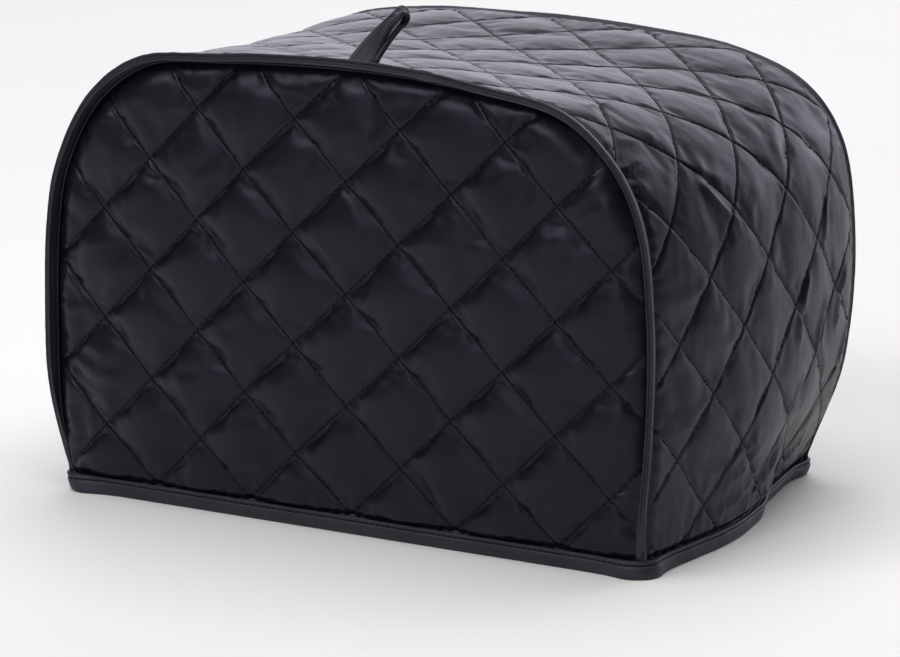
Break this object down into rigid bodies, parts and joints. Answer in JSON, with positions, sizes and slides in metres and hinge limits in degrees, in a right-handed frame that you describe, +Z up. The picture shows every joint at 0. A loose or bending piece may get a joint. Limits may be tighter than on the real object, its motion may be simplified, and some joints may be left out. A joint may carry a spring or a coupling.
{
  "type": "quilted toaster cover",
  "caption": "Box-shaped quilted cloth cover with rounded shoulders, bound seams, a bound hem that it stands on and a small hanging loop at the front of its top.",
  "frame": {"origin": "on the floor under the middle of the whole cover", "axes": "+X to the right along the cover's length, seen from the front; +Y to the back, the hanging loop is near the front seam; +Z up"},
  "size_m": [0.3036, 0.196, 0.2221],
  "materials": {
    "quilted_cloth": "near-black satin-faced quilted polyester with a soft violet sheen",
    "binding_tape": "near-black folded woven tape, matt with a faint sheen"
  },
  "bodies": {
    "root": {"front_panel": "quilted_cloth", "back_panel": "quilted_cloth", "gusset": "quilted_cloth", "front_binding": "binding_tape", "back_binding": "binding_tape", "hem_binding": "binding_tape", "hang_loop": "binding_tape"}
  },
  "joints": []
}
